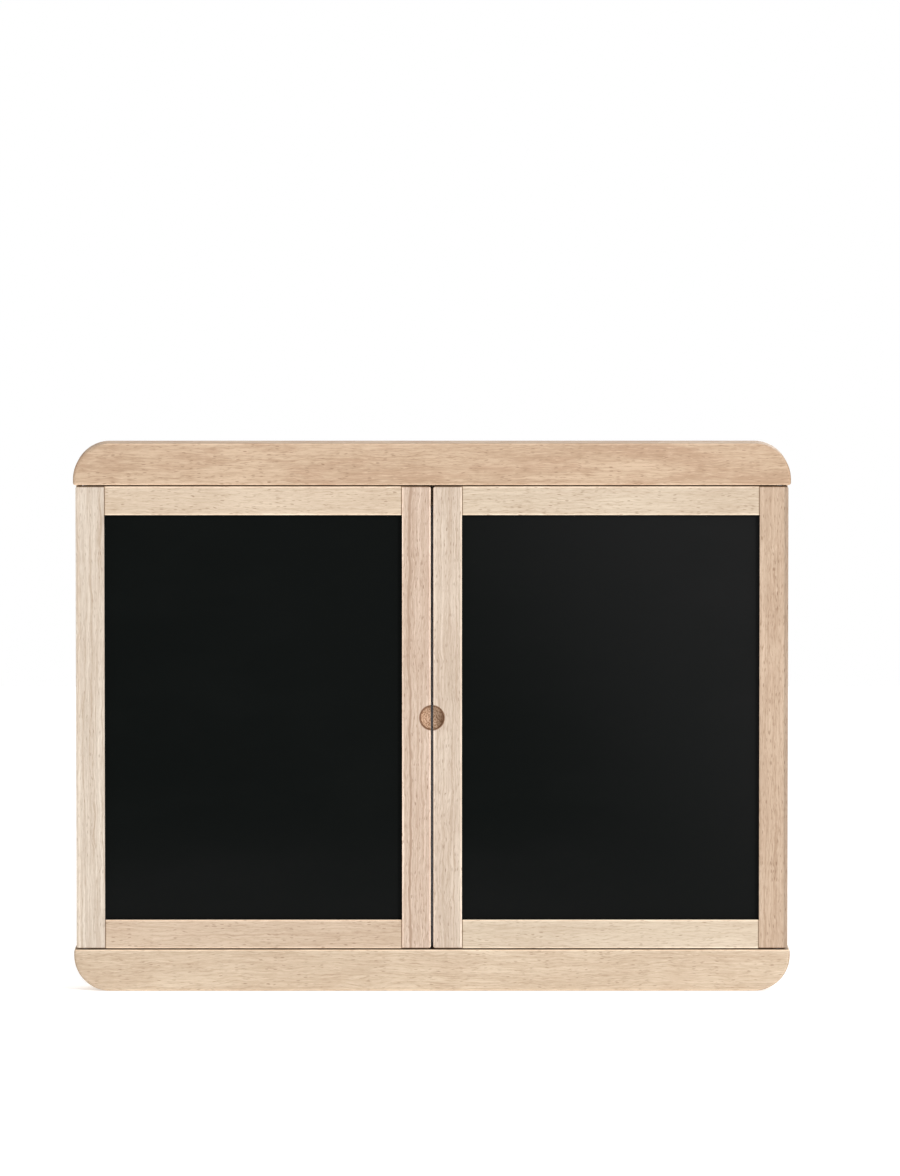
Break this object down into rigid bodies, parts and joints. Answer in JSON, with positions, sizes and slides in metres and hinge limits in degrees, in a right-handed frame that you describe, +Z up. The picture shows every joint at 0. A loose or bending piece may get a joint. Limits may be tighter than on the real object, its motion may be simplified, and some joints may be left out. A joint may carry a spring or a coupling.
{
  "type": "two-door children's chalk and magnet board",
  "caption": "Wooden children's board: rails with rounded ends, a pair of framed blackboard doors on hidden pins, and a magnetic whiteboard behind them.",
  "frame": {"origin": "middle of the bottom rail's underside", "axes": "+X to the right seen from the front, -Y towards the front (the doors), +Z up"},
  "size_m": [0.6, 0.04, 0.46],
  "materials": {
    "beech": "fine sanded beech, matte clear lacquer, small dark flecks along the grain",
    "dowel_beech": "fluted beech dowel, unfinished",
    "matte_black_board": "matte black chalk coating on hardboard",
    "white_enamel": "glossy white writing surface on thin steel",
    "hardboard": "brown hardboard, fine pressed fibres",
    "bright_steel": "plain turned steel",
    "zinc_plate": "zinc plated pressed steel",
    "zinc_screw": "zinc plated screw",
    "magnet_nickel": "nickel plated disc magnet",
    "nylon": "natural nylon"
  },
  "bodies": {
    "frame": {"top_rail": "beech", "bottom_rail": "beech", "inner_whiteboard": "white_enamel", "backing_board": "hardboard", "catch_block": "beech", "rear_stile_left": "beech", "frame_dowel_left_lower_1": "dowel_beech", "frame_dowel_left_lower_2": "dowel_beech", "pivot_bush_left_lower": "nylon", "frame_dowel_left_upper_1": "dowel_beech", "frame_dowel_left_upper_2": "dowel_beech", "pivot_bush_left_upper": "nylon", "catch_magnet_left": "magnet_nickel", "catch_screw_left": "zinc_screw", "hanger_plate_left": "zinc_plate", "hanger_screw_left_1": "zinc_screw", "hanger_screw_left_2": "zinc_screw", "rear_stile_right": "beech", "frame_dowel_right_lower_1": "dowel_beech", "frame_dowel_right_lower_2": "dowel_beech", "pivot_bush_right_lower": "nylon", "frame_dowel_right_upper_1": "dowel_beech", "frame_dowel_right_upper_2": "dowel_beech", "pivot_bush_right_upper": "nylon", "catch_magnet_right": "magnet_nickel", "catch_screw_right": "zinc_screw", "hanger_plate_right": "zinc_plate", "hanger_screw_right_1": "zinc_screw", "hanger_screw_right_2": "zinc_screw"},
    "left_door": {"door_left_pin_lower": "bright_steel", "door_left_dowel_lower_outer": "dowel_beech", "door_left_dowel_lower_inner": "dowel_beech", "door_left_pin_upper": "bright_steel", "door_left_dowel_upper_outer": "dowel_beech", "door_left_dowel_upper_inner": "dowel_beech", "door_left_outer_stile": "beech", "door_left_inner_stile": "beech", "door_left_top_rail": "beech", "door_left_bottom_rail": "beech", "door_left_blackboard": "matte_black_board", "door_left_whiteboard": "white_enamel", "door_left_strike": "bright_steel"},
    "right_door": {"door_right_pin_lower": "bright_steel", "door_right_dowel_lower_outer": "dowel_beech", "door_right_dowel_lower_inner": "dowel_beech", "door_right_pin_upper": "bright_steel", "door_right_dowel_upper_outer": "dowel_beech", "door_right_dowel_upper_inner": "dowel_beech", "door_right_outer_stile": "beech", "door_right_inner_stile": "beech", "door_right_top_rail": "beech", "door_right_bottom_rail": "beech", "door_right_blackboard": "matte_black_board", "door_right_whiteboard": "white_enamel", "door_right_strike": "bright_steel"}
  },
  "joints": [
    {"name": "left_door_hinge", "type": "hinge", "parent": "frame", "child": "left_door", "pos_m": [-0.29, -0.011, 0.23], "axis": [0, 0, -1], "range_deg": [0, 180]},
    {"name": "right_door_hinge", "type": "hinge", "parent": "frame", "child": "right_door", "pos_m": [0.29, -0.011, 0.23], "axis": [0, 0, 1], "range_deg": [0, 180]}
  ]
}
